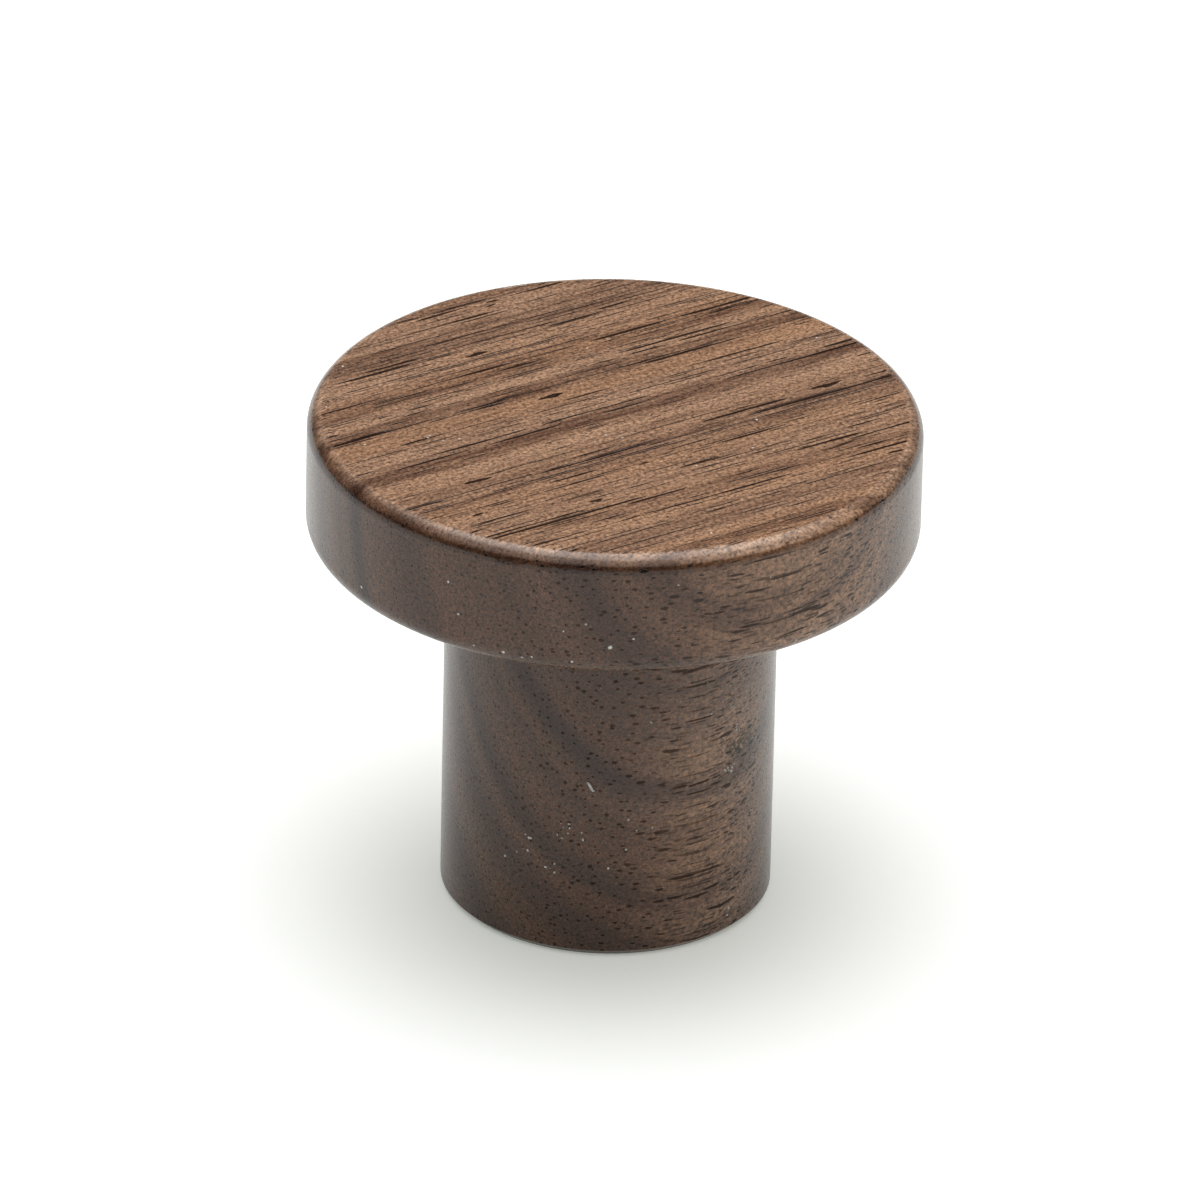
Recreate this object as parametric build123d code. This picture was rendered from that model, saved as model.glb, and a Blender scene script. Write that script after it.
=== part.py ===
from build123d import *

import math
import os

# A turned hardwood cabinet knob: one solid piece of wood, a flat round head on a
# straight stem, and a slotted screw-in insert that gives the stem a metal thread.
# The axis is Z. The origin is the centre of the base, where the knob meets the
# drawer front, and the head is at the top.
# All sizes are in millimetres.

# The turned wood
head_diameter = 35.0
head_thickness = 7.5
stem_diameter = 19.0
knob_height = 30.0
top_edge_round = 1.0
head_lower_round = 1.2
stem_base_bevel = 0.4

# The hole for the insert, drilled from the base
pilot_clearance = 0.1
screw_room = 5.0
drill_point_angle = 118.0
mouth_chamfer = 0.4

# The insert: coarse wood thread outside, M4 inside
insert_length = 10.0
insert_core_diameter = 6.4
insert_recess = 0.5
wood_thread_diameter = 8.0
wood_thread_pitch = 2.5
wood_thread_crest = 0.25
wood_thread_flank_angle = 30.0
wood_thread_end_gap = 0.3
lead_chamfer = 0.6
m4_tap_drill_diameter = 3.3
bore_countersink = 0.35
slot_width = 1.2
slot_depth = 2.0

# How far a cutting shape runs past what it cuts, and how deep the thread's ridge is
# rooted in the insert's core
overrun = 1.0
thread_root_sink = 0.25

# Worked out from the sizes above
head_radius = head_diameter / 2
stem_radius = stem_diameter / 2
head_underside = knob_height - head_thickness
insert_core_radius = insert_core_diameter / 2
pilot_radius = insert_core_radius + pilot_clearance
pilot_depth = insert_recess + insert_length + screw_room
insert_top = insert_recess + insert_length


def turned(points, rounds):
    """A solid of revolution about Z, from a half section of (radius, height) points.

    rounds holds pairs of a corner's number in points and its edge radius."""
    section = make_face(Polyline(*points, close=True))
    for number, radius in rounds:
        corner = section.vertices().sort_by_distance(points[number])[0]
        section = fillet(corner, radius)
    return revolve(Plane.XZ * section, axis=Axis.Z)


def turned_blank():
    """The knob as it leaves the lathe, before its base is drilled."""
    half_section = [
        (0, 0),
        (stem_radius - stem_base_bevel, 0),
        (stem_radius, stem_base_bevel),
        (stem_radius, head_underside),
        (head_radius, head_underside),
        (head_radius, knob_height),
        (0, knob_height),
    ]
    rounds = [
        (4, head_lower_round),
        (5, top_edge_round),
    ]
    return turned(half_section, rounds)


def pilot_hole():
    """The drilled hole: a chamfered mouth, a straight bore and the drill's point."""
    point_height = pilot_radius / math.tan(math.radians(drill_point_angle / 2))
    half_section = [
        (0, -overrun),
        (pilot_radius + mouth_chamfer + overrun, -overrun),
        (pilot_radius, mouth_chamfer),
        (pilot_radius, pilot_depth),
        (0, pilot_depth + point_height),
    ]
    return turned(half_section, [])


def wood_thread():
    """The coarse ridge that winds round the insert and cuts its way into the wood.

    Its section is a trapezium that starts inside the core and narrows to the crest. It
    is carried along a helix that stops short of the insert's two ends."""
    crest_radius = wood_thread_diameter / 2
    root_radius = insert_core_radius - thread_root_sink
    half_crest = wood_thread_crest / 2
    flank_slope = math.tan(math.radians(wood_thread_flank_angle))
    half_root = half_crest + (crest_radius - root_radius) * flank_slope
    start = insert_recess + wood_thread_end_gap + half_root
    travel = insert_length - 2 * (wood_thread_end_gap + half_root)
    helix = Pos(0, 0, start) * Helix(wood_thread_pitch, travel, crest_radius)
    ridge_section = make_face(
        Polyline(
            (root_radius, start - half_root),
            (crest_radius, start - half_crest),
            (crest_radius, start + half_crest),
            (root_radius, start + half_root),
            close=True,
        )
    )
    return sweep(Plane.XZ * ridge_section, path=helix, is_frenet=True)


def insert_core():
    """The insert's plain barrel, chamfered at its leading end."""
    half_section = [
        (0, insert_recess),
        (insert_core_radius, insert_recess),
        (insert_core_radius, insert_top - lead_chamfer),
        (insert_core_radius - lead_chamfer, insert_top),
        (0, insert_top),
    ]
    return turned(half_section, [])


def m4_bore():
    """The tapping bore right through the insert, countersunk at both ends."""
    radius = m4_tap_drill_diameter / 2
    wide = radius + bore_countersink
    half_section = [
        (0, insert_recess - overrun),
        (wide + overrun, insert_recess - overrun),
        (wide, insert_recess),
        (radius, insert_recess + bore_countersink),
        (radius, insert_top - bore_countersink),
        (wide, insert_top),
        (wide + overrun, insert_top + overrun),
        (0, insert_top + overrun),
    ]
    return turned(half_section, [])


def driving_slot():
    """The screwdriver slot across the insert's outer end."""
    slot = Box(
        wood_thread_diameter + 2 * overrun,
        slot_width,
        slot_depth + overrun,
        align=(Align.CENTER, Align.CENTER, Align.MAX),
    )
    return Pos(0, 0, insert_recess + slot_depth) * slot


def write(name, shape):
    """One STEP file for each piece, named as the piece is."""
    export_step(shape, f"parts/{name}.step")
    print(name, "volume", round(shape.volume, 1), "mm3")


thread = wood_thread()
knob_body = turned_blank() - pilot_hole() - thread
threaded_insert = insert_core() + thread - m4_bore() - driving_slot()

os.makedirs("parts", exist_ok=True)
write("knob_body", knob_body)
write("threaded_insert", threaded_insert)
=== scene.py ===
# %% [markdown]
# # A turned walnut cabinet knob
#
# The real knob is one block of walnut, turned on a lathe with the grain lying level, and
# finished with a thin satin lacquer. A slotted brass insert in its base takes the screw.
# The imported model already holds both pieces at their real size, so the wood keeps its
# shape and only gets its finish here. The insert is made again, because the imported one
# has a plain bore where such an insert has a fine thread.

import math

import bmesh
import bpy
import numpy as np
from mathutils import Matrix, Vector


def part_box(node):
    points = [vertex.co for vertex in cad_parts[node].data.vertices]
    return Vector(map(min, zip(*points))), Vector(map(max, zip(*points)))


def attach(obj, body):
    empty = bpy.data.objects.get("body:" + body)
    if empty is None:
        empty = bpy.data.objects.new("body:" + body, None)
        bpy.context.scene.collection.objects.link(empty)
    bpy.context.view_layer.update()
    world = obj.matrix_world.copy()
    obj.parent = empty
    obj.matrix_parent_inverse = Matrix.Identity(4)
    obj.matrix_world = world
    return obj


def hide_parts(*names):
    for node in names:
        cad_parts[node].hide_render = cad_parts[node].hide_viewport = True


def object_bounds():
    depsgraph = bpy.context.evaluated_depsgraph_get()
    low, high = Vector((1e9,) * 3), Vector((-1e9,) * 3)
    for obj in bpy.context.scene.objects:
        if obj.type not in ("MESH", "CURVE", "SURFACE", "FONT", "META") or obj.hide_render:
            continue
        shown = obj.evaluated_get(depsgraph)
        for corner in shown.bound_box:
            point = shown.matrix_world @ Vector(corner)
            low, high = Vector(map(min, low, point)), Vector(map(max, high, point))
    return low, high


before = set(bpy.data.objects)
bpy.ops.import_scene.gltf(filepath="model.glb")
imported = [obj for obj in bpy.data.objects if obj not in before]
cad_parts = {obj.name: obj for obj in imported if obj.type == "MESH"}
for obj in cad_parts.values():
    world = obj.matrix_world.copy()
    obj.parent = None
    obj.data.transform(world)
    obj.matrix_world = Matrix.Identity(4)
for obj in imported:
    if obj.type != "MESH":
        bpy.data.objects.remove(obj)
cad_low, cad_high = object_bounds()
MM = 0.001
knob_height = cad_high.z
head_radius = cad_high.x
stem_radius = 9.5 * MM
print("nodes", sorted(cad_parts), "height", round(knob_height / MM, 2), "mm")

# %% [markdown]
# ## The camera
#
# The photograph was taken with a long lens from above the front, with the camera tipped
# a little to one side. A long lens far away keeps the ellipses of the rim and the base
# almost alike, which is how they look there. The camera could carry a lens shift to place
# the knob in the picture. Turning it by the same small angle is simpler, because the
# other views can then use the camera as it is.

# %% Place the camera
PICTURE_SIDE = 1200.0
CENTRE_PIXEL = (610.36, 646.49)
VIEW_ELEVATION = math.radians(28.552)
VIEW_ROLL = math.radians(-1.3057)
VIEW_DISTANCE = 0.917
HEAD_RADIUS_PIXELS = 306.4
SENSOR_MM = 36.0
NEAREST_SEEN = 0.01

focal_pixels = HEAD_RADIUS_PIXELS * VIEW_DISTANCE / head_radius
looked_at = Vector((0.0, 0.0, knob_height / 2))
back = Vector((0.0, -math.cos(VIEW_ELEVATION), math.sin(VIEW_ELEVATION)))
up = Vector((0.0, math.sin(VIEW_ELEVATION), math.cos(VIEW_ELEVATION)))
level = Matrix((Vector((1.0, 0.0, 0.0)), up, back))
roll = Matrix.Rotation(VIEW_ROLL, 3, "Z")
aside = (CENTRE_PIXEL[0] - PICTURE_SIDE / 2) / focal_pixels
below = (CENTRE_PIXEL[1] - PICTURE_SIDE / 2) / focal_pixels
turn = Vector((0.0, 0.0, -1.0)).rotation_difference(Vector((aside, -below, -1.0))).to_matrix()

camera_data = bpy.data.cameras.new("camera")
camera_data.sensor_width = SENSOR_MM
camera_data.lens = focal_pixels / PICTURE_SIDE * SENSOR_MM
camera_data.clip_start = NEAREST_SEEN
camera = bpy.data.objects.new("camera", camera_data)
bpy.context.scene.collection.objects.link(camera)
camera.matrix_world = (turn @ roll @ level).transposed().to_4x4()
camera.location = looked_at + back * VIEW_DISTANCE
bpy.context.scene.camera = camera
print("lens", round(camera_data.lens, 1), "mm")

# %% [markdown]
# ## Small helpers for shader nodes
#
# A procedural finish is a chain of many small sums. Written out node by node it is hard
# to read, so these helpers make one node or a few, feed them, and hand back the output.

# %% Helpers that each make one node
def feed(tree, socket, value):
    """Feeds a node's input from another node's output, or sets it to a plain value."""
    if isinstance(value, bpy.types.NodeSocket):
        tree.links.new(value, socket)
    else:
        socket.default_value = value


def maths(tree, operation, *values, clamp=False):
    """One sum on numbers, such as ADD or MULTIPLY."""
    node = tree.nodes.new("ShaderNodeMath")
    node.operation = operation
    node.use_clamp = clamp
    for socket, value in zip(node.inputs, values):
        feed(tree, socket, value)
    return node.outputs[0]


def vector_maths(tree, operation, *values):
    """One sum on vectors. DOT_PRODUCT, LENGTH and DISTANCE give a number."""
    node = tree.nodes.new("ShaderNodeVectorMath")
    node.operation = operation
    for socket, value in zip(node.inputs, values):
        feed(tree, socket, value)
    numeric = operation in ("DOT_PRODUCT", "LENGTH", "DISTANCE")
    return node.outputs["Value" if numeric else "Vector"]


def combine(tree, x, y, z):
    """A vector from three numbers."""
    node = tree.nodes.new("ShaderNodeCombineXYZ")
    for socket, value in zip(node.inputs, (x, y, z)):
        feed(tree, socket, value)
    return node.outputs[0]


def smooth_step(tree, value, at_0, at_1):
    """Runs smoothly from 0 where value is at_0 to 1 where it is at_1, and stays there."""
    node = tree.nodes.new("ShaderNodeMapRange")
    node.interpolation_type = "SMOOTHSTEP"
    for socket, given in zip(node.inputs, (value, at_0, at_1)):
        feed(tree, socket, given)
    return node.outputs[0]


def noise(tree, place, scale=1.0, detail=2.0, roughness=0.5):
    """Cloudy noise, about 0 to 1 round a half, at that many patches to a unit."""
    node = tree.nodes.new("ShaderNodeTexNoise")
    node.inputs["Scale"].default_value = scale
    node.inputs["Detail"].default_value = detail
    node.inputs["Roughness"].default_value = roughness
    feed(tree, node.inputs["Vector"], place)
    return node.outputs[0]


def mixed(tree, share, first, second, mode="MIX"):
    """A colour between two: share 0 gives the first and 1 the second."""
    node = tree.nodes.new("ShaderNodeMix")
    node.data_type = "RGBA"
    node.blend_type = mode
    feed(tree, node.inputs["Factor"], share)
    for socket, value in zip([s for s in node.inputs if s.type == "RGBA"], (first, second)):
        feed(tree, socket, value)
    return [s for s in node.outputs if s.type == "RGBA"][0]


# %% Helpers for sums that come back often
def between(tree, share, at_0, at_1):
    """A number that runs evenly from at_0 where share is 0 to at_1 where it is 1."""
    return maths(tree, "MULTIPLY_ADD", share, at_1 - at_0, at_0)


def swing(tree, value, size):
    """Noise as a push either way: the value less a half, times a size."""
    return maths(tree, "MULTIPLY", maths(tree, "SUBTRACT", value, 0.5), size)


def band(tree, value, rise, fall):
    """1 between two soft limits and 0 outside them. Each limit is where it is 0, then 1."""
    return maths(tree, "MULTIPLY", smooth_step(tree, value, *rise), smooth_step(tree, value, *fall))


def tinted(tree, share, colour, tint):
    """The colour multiplied by a tint, as far as share says."""
    return mixed(tree, share, colour, mixed(tree, 1.0, colour, tint, "MULTIPLY"))


def linear(red, green, blue):
    """A colour as a shader wants it, from the 0 to 255 numbers of a picture.

    Each number is taken as a share of 255. A very dark one is divided by 12.92. Any other
    has 0.055 added, is divided by 1.055 and is raised to the power 2.4."""
    channels = [c / 255 for c in (red, green, blue)]
    return [c / 12.92 if c < 0.04045 else ((c + 0.055) / 1.055) ** 2.4 for c in channels] + [1.0]


# %% Helpers for node groups, materials and bump
def new_group(name, inputs, outputs):
    """An empty shader group with these inputs and outputs. Place is a vector, others numbers."""
    tree = bpy.data.node_groups.new(name, "ShaderNodeTree")
    for direction, sockets in (("INPUT", inputs), ("OUTPUT", outputs)):
        for socket in sockets.split():
            kind = "NodeSocketVector" if socket == "Place" else "NodeSocketFloat"
            tree.interface.new_socket(socket, in_out=direction, socket_type=kind)
    entry = tree.nodes.new("NodeGroupInput")
    leaving = tree.nodes.new("NodeGroupOutput")
    return tree, entry.outputs, leaving.inputs


def use_group(tree, group, **values):
    """Places a group in a material or in another group. Returns its outputs."""
    node = tree.nodes.new("ShaderNodeGroup")
    node.node_tree = group
    for name, value in values.items():
        feed(tree, node.inputs[name], value)
    return node.outputs


def new_material(name):
    """A material with a Principled shader. Returns it, its tree and the shader."""
    material = bpy.data.materials.new(name)
    material.use_nodes = True
    return material, material.node_tree, material.node_tree.nodes["Principled BSDF"]


def add_bump(tree, shader, height, strength, depth):
    """Makes a surface look raised where height is large, without moving it."""
    bump = tree.nodes.new("ShaderNodeBump")
    bump.inputs["Strength"].default_value = strength
    bump.inputs["Distance"].default_value = depth
    tree.links.new(height, bump.inputs["Height"])
    tree.links.new(bump.outputs["Normal"], shader.inputs["Normal"])


# %% [markdown]
# ## Which way the wood runs
#
# Everything seen in a piece of wood follows from two things: the way its fibres run, and
# where the middle of the tree was. Here the fibres lie level, 33 degrees round from the
# right towards the back. The rings bend round a line along the fibres, 38 mm out from the
# knob's axis to the front and right, and 36 mm up. A pattern drawn on each face by itself
# would not meet at the edges. A pattern worked out in the solid does: dashes on the top
# turn into dots on the end grain by themselves.

# %% Node group: the directions of the grain
GRAIN_AZIMUTH = math.radians(33.0)
HEART_OUT = 38.0
HEART_UP = 36.0
RING_BEND = 0.9
RING_BEND_SCALE = 0.16
RING_BEND_STRETCH = 0.25

grain = Vector((math.cos(GRAIN_AZIMUTH), math.sin(GRAIN_AZIMUTH), 0.0))
outward = Vector((math.sin(GRAIN_AZIMUTH), -math.cos(GRAIN_AZIMUTH), 0.0))


def drawn_out(tree, wood, stretch):
    """A place for reading noise that is long in the direction of the fibres.

    wood holds the place's parts along, out and up. The part along the fibres is multiplied
    by stretch, which makes the noise 1 / stretch times as long that way."""
    along, out, height = wood
    return combine(tree, maths(tree, "MULTIPLY", along, stretch), out, height)


def make_grain_axes():
    """A place in the block as the wood sees it, in millimetres.

    Along is the place's part along the fibres, Out its part across them in the level
    plane, and Up its height. Ring is its distance from the heart of the tree, which is the
    square root of the squares of Out and Up measured from the heart, plus a slow noise of
    up to half of RING_BEND either way."""
    tree, given, made = new_group("grain_axes", "Place", "Along Out Up Ring")
    along = vector_maths(tree, "DOT_PRODUCT", given["Place"], grain / MM)
    out = vector_maths(tree, "DOT_PRODUCT", given["Place"], outward / MM)
    height = vector_maths(tree, "DOT_PRODUCT", given["Place"], (0.0, 0.0, 1 / MM))
    heart = (0.0, HEART_OUT, HEART_UP)
    ring = vector_maths(tree, "DISTANCE", combine(tree, 0.0, out, height), heart)
    slow_place = drawn_out(tree, (along, out, height), RING_BEND_STRETCH)
    bend = noise(tree, slow_place, RING_BEND_SCALE, 1.0)
    ring = maths(tree, "ADD", ring, swing(tree, bend, RING_BEND))
    for name, value in (("Along", along), ("Out", out), ("Up", height), ("Ring", ring)):
        tree.links.new(value, made[name])
    return tree


grain_axes = make_grain_axes()
print("fibres run along", [round(x, 2) for x in grain])

# %% [markdown]
# ## Growth rings
#
# A tree adds a ring each year, part of it pale and part of it dark and dense. The list
# holds, for each dark band that crosses the knob, the distance from the heart where it is
# darkest, a width that says how soon it gets there, and how dark it is. A repeating wave
# would be quicker to write, but no two years are alike, and the uneven bands are what
# give this knob its face.

# %% The rings and how dark each one is
RING_NEAR = 18.0
RING_FAR = 60.0
FIRST_DARK = 0.2
PALE_DARK = 0.15
RISE_WIDTHS = 1.3
LATE_RINGS = (
    (23.2, 1.0, 0.70),
    (25.2, 1.0, 0.80),
    (28.3, 0.8, 0.45),
    (34.1, 1.2, 0.65),
    (38.5, 0.8, 1.00),
    (40.4, 0.4, 0.45),
    (43.7, 1.3, 0.88),
    (45.9, 1.1, 0.75),
    (50.2, 1.3, 0.80),
    (54.5, 0.9, 0.85),
    (58.2, 1.0, 0.70),
)


def dark_by_ring(tree, ring):
    """How dark the wood is at a distance from the heart, by a colour ramp.

    It rises from PALE_DARK to each band's own darkness over RISE_WIDTHS times the band's
    width, and then eases back until the next band starts to rise."""
    node = tree.nodes.new("ShaderNodeValToRGB")
    ramp = node.color_ramp
    ramp.interpolation = "EASE"
    span = RING_FAR - RING_NEAR
    stops = [(0.0, FIRST_DARK)]
    for distance, width, dark in LATE_RINGS:
        stops.append(((distance - RISE_WIDTHS * width - RING_NEAR) / span, PALE_DARK))
        stops.append(((distance - RING_NEAR) / span, dark))
    for number, (position, dark) in enumerate(stops):
        stop = ramp.elements[number] if number < 2 else ramp.elements.new(position)
        stop.position = position
        stop.color = (dark, dark, dark, 1.0)
    share = maths(tree, "DIVIDE", maths(tree, "SUBTRACT", ring, RING_NEAR), span)
    tree.links.new(share, node.inputs[0])
    return node.outputs[0]


print("rings", len(LATE_RINGS))

# %% Node group: growth rings and the streaks in them
# Each noise is its scale, detail and roughness
BROAD_STREAKS = (0.9, 3.0, 0.6)
FINE_STREAKS = (3.2, 3.0, 0.6)
BROAD_STRETCH = 0.035
FINE_STRETCH = 0.06
STREAK_HEIGHT_STRETCH = 0.05
FINE_STREAK_WEIGHT = 2.0
MEAN_STREAK = 1.5
# The rings' contrast without streaks and with full streaks
CONTRAST_BY_STREAKS = (1.05, 0.75)
WARM_NOISE = (0.22, 2.0)
WARM_STRETCH = 0.05
WARM_LIMITS = (0.42, 0.66)
WARM_PATCH = (0.0, 9.5, 6.0)
WARM_PATCH_LIMITS = (4.0, 1.5)


def streaks_across(tree, given):
    """Noise that is drawn out along the fibres and changes fast from ring to ring.

    Broad noise plus FINE_STREAK_WEIGHT times fine noise, less the mean of that sum."""
    height = maths(tree, "MULTIPLY", given["Up"], STREAK_HEIGHT_STRETCH)
    broad_place = drawn_out(tree, (given["Along"], given["Ring"], height), BROAD_STRETCH)
    fine_place = drawn_out(tree, (given["Along"], given["Ring"], height), FINE_STRETCH)
    broad = noise(tree, broad_place, *BROAD_STREAKS)
    fine = noise(tree, fine_place, *FINE_STREAKS)
    streaks = maths(tree, "MULTIPLY_ADD", fine, FINE_STREAK_WEIGHT, broad)
    return maths(tree, "SUBTRACT", streaks, MEAN_STREAK)


def warm_wood(tree, given):
    """1 in warmer wood: slow patches, and one round patch that runs along the fibres."""
    slow_place = drawn_out(tree, (given["Along"], given["Out"], given["Up"]), WARM_STRETCH)
    slow = smooth_step(tree, noise(tree, slow_place, *WARM_NOISE), *WARM_LIMITS)
    level_place = combine(tree, 0.0, given["Out"], given["Up"])
    patch = vector_maths(tree, "DISTANCE", level_place, WARM_PATCH)
    return maths(tree, "MAXIMUM", slow, smooth_step(tree, patch, *WARM_PATCH_LIMITS))


def make_growth_rings():
    """How dark and how warm the wood is, each from 0 to 1.

    Dark is the ring's darkness times a contrast, plus the streaks. Streaks says how strong
    they are, and the contrast falls a little where they are strong."""
    tree, given, made = new_group("growth_rings", "Along Out Up Ring Streaks", "Dark Warm")
    streaks = maths(tree, "MULTIPLY", streaks_across(tree, given), given["Streaks"])
    contrast = between(tree, given["Streaks"], *CONTRAST_BY_STREAKS)
    ring_dark = dark_by_ring(tree, given["Ring"])
    dark = maths(tree, "MULTIPLY_ADD", ring_dark, contrast, streaks, clamp=True)
    tree.links.new(dark, made["Dark"])
    tree.links.new(warm_wood(tree, given), made["Warm"])
    return tree


growth_rings = make_growth_rings()
print("growth ring nodes", len(growth_rings.nodes))

# %% [markdown]
# ## Pores
#
# The dark dashes on the top and the dots on the end grain are the same thing: tubes that
# carried water up the tree, cut open lengthwise or across. Drawing dashes on the top and
# dots on the sides would be two patterns that never meet. Here the tubes themselves run
# through the whole block, wandering a little, and whatever surface cuts the block cuts
# them. Where a tube weaves in and out of the top face it leaves a row of dashes.

# %% Node group: pores
PORE_UNEVENNESS = 0.9
PORE_DRIFT = (0.25, 1.1, 0.0)
PORE_FADE = 2.2
PORE_CORE = 0.6
MOST_SWOLLEN = 1.45
# How far apart neighbouring cells read their noise, so that no two tubes are alike
CELL_SPREAD = (700.0, 90.0, 90.0)


def make_pores():
    """1 inside a pore tube and 0 outside.

    Across the fibres, each cell of an uneven grid Spacing wide holds one tube. Noise that
    changes slowly along the fibres, about once in Wave, moves it by up to half of PORE_DRIFT
    cells either way. A pore is where the distance to the tube's middle is under Radius times
    a swelling. The swelling is Swell times 1 plus PORE_FADE times the noise less a half, and
    never over MOST_SWOLLEN, so each tube swells and fades along its length."""
    tree, given, made = new_group("pores", "Along Out Up Spacing Radius Wave Swell", "Pore")
    across = combine(tree, given["Out"], given["Up"], 0.0)
    cell_size = combine(tree, given["Spacing"], given["Spacing"], 1.0)
    section = vector_maths(tree, "DIVIDE", across, cell_size)
    cells = tree.nodes.new("ShaderNodeTexVoronoi")
    cells.voronoi_dimensions = "2D"
    cells.feature = "F1"
    cells.inputs["Scale"].default_value = 1.0
    cells.inputs["Randomness"].default_value = PORE_UNEVENNESS
    tree.links.new(section, cells.inputs["Vector"])

    own = vector_maths(tree, "MULTIPLY", cells.outputs["Color"], CELL_SPREAD)
    stretch = combine(tree, maths(tree, "DIVIDE", given["Along"], given["Wave"]), 0.0, 0.0)
    wobble = noise(tree, vector_maths(tree, "ADD", own, stretch), 1.0, 1.0)
    push = vector_maths(tree, "SUBTRACT", wobble.node.outputs["Color"], (0.5, 0.5, 0.5))
    push = vector_maths(tree, "MULTIPLY", push, PORE_DRIFT)
    middle = vector_maths(tree, "ADD", cells.outputs["Position"], push)
    distance = vector_maths(tree, "DISTANCE", section, middle)

    fade = maths(tree, "ADD", swing(tree, wobble, PORE_FADE), 1.0)
    swollen = maths(tree, "MULTIPLY", fade, given["Swell"])
    swollen = maths(tree, "MINIMUM", swollen, MOST_SWOLLEN)
    radius = maths(tree, "DIVIDE", given["Radius"], given["Spacing"])
    radius = maths(tree, "MULTIPLY", radius, swollen)
    core = maths(tree, "MULTIPLY", radius, PORE_CORE)
    tree.links.new(smooth_step(tree, distance, radius, core), made["Pore"])
    return tree


pores = make_pores()
print("pore nodes", len(pores.nodes))

# %% [markdown]
# ## Dust and places on the knob
#
# The photographed knob isn't clean. Fine pale dust sits on its sides, with a few larger
# grains and one curl of lint, and a small greenish black mark with pale grains round it
# is on the right of the stem. The finest dust is part of the finish. The larger grains
# on the stem are modelled further on, because they stand up from the surface.

# %% Node group: fine dust
DUST_CORE = 0.5


def make_dust():
    """1 on a grain of fine dust and 0 elsewhere.

    One grain in each cell of a fine grid, where the cell's own random number is under
    Share and the distance to the cell's point is under Size."""
    tree, given, made = new_group("dust", "Place Cells Share Size", "Dust")
    voronoi = tree.nodes.new("ShaderNodeTexVoronoi")
    voronoi.inputs["Randomness"].default_value = 1.0
    tree.links.new(given["Cells"], voronoi.inputs["Scale"])
    tree.links.new(given["Place"], voronoi.inputs["Vector"])
    chosen = maths(tree, "LESS_THAN", voronoi.outputs["Color"], given["Share"])
    core = maths(tree, "MULTIPLY", given["Size"], DUST_CORE)
    grain_of_dust = smooth_step(tree, voronoi.outputs["Distance"], given["Size"], core)
    tree.links.new(maths(tree, "MULTIPLY", chosen, grain_of_dust), made["Dust"])
    return tree


dust = make_dust()
print("dust nodes", len(dust.nodes))


# %% Places on the knob
def on_side(radius, azimuth, height):
    """A point on an upright round side, from degrees round from the front and millimetres up."""
    angle = math.radians(azimuth)
    return Vector((math.sin(angle) * radius, -math.cos(angle) * radius, height * MM))


def on_top(x, y):
    """A point on the top face, from millimetres right of and behind the axis."""
    return Vector((x * MM, y * MM, knob_height))


# %% [markdown]
# ## The bare wood
#
# The colour runs from a sandy tan to a purple brown with the rings, with a fine mottle
# over it and grit where the fibres are cut across. A picture of walnut would bring all
# this at once, but it would stretch on the round sides. Here every layer is read at the
# place in the block, so it has the same scale everywhere.

# %% Colour and mottle of the bare wood
PALE_WOOD = linear(170, 134, 108)
DARK_WOOD = linear(97, 68, 53)
WARM_WOOD = linear(167, 128, 99)
SAND_NOISE = (5.0, 1.5, 0.8)
SAND_STRETCH = 0.8
# A pair named BY_GRAIN is a value on side grain and on end grain
SAND_BY_GRAIN = (3.4, 2.0)
GRIT_NOISE = (9.0, 1.0)
GRIT_STRENGTH = 2.2


def bare_wood(tree, wood, rings, end_grain):
    """The colour of the cut wood, and the sand mottle by itself.

    The pale or warm colour is mixed with the dark one by the rings, and then multiplied
    by 1 plus the sand mottle and, on end grain, the grit."""
    colour = mixed(tree, rings["Warm"], PALE_WOOD, WARM_WOOD)
    colour = mixed(tree, rings["Dark"], colour, DARK_WOOD)
    sand = noise(tree, drawn_out(tree, wood, SAND_STRETCH), *SAND_NOISE)
    sand = maths(tree, "SUBTRACT", sand, 0.5)
    grit = swing(tree, noise(tree, combine(tree, *wood), *GRIT_NOISE), end_grain)
    strength = between(tree, end_grain, *SAND_BY_GRAIN)
    brightness = maths(tree, "MULTIPLY_ADD", sand, strength, 1.0)
    brightness = maths(tree, "MULTIPLY_ADD", grit, GRIT_STRENGTH, brightness)
    grey = combine(tree, brightness, brightness, brightness)
    return mixed(tree, 1.0, colour, grey, "MULTIPLY"), sand


# %% Both sizes of pore in the wood
LARGE_PORES = {"Spacing": 0.50, "Radius": 0.1, "Wave": 4.5}
SMALL_PORES = {"Spacing": 0.27, "Radius": 0.055, "Wave": 2.2}
# The small tubes read the grid this many millimetres away, so that they lie elsewhere
SMALL_PORE_SHIFT = 100.0
SMALL_PORE_EXTRA_SWELL = 0.25
BUNCH_NOISE = (0.9, 2.0)
BUNCH_STRETCH = 0.22
BUNCH_SWELL = 4.0
DARK_WOOD_SWELL = 0.4
LARGEST_SWELL = 1.4
SWELL_BY_GRAIN = (0.75, 0.77)
UNEVEN_BY_GRAIN = (1.0, 0.25)
SMALL_PORES_BY_GRAIN = (0.85, 0.4)


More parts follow.
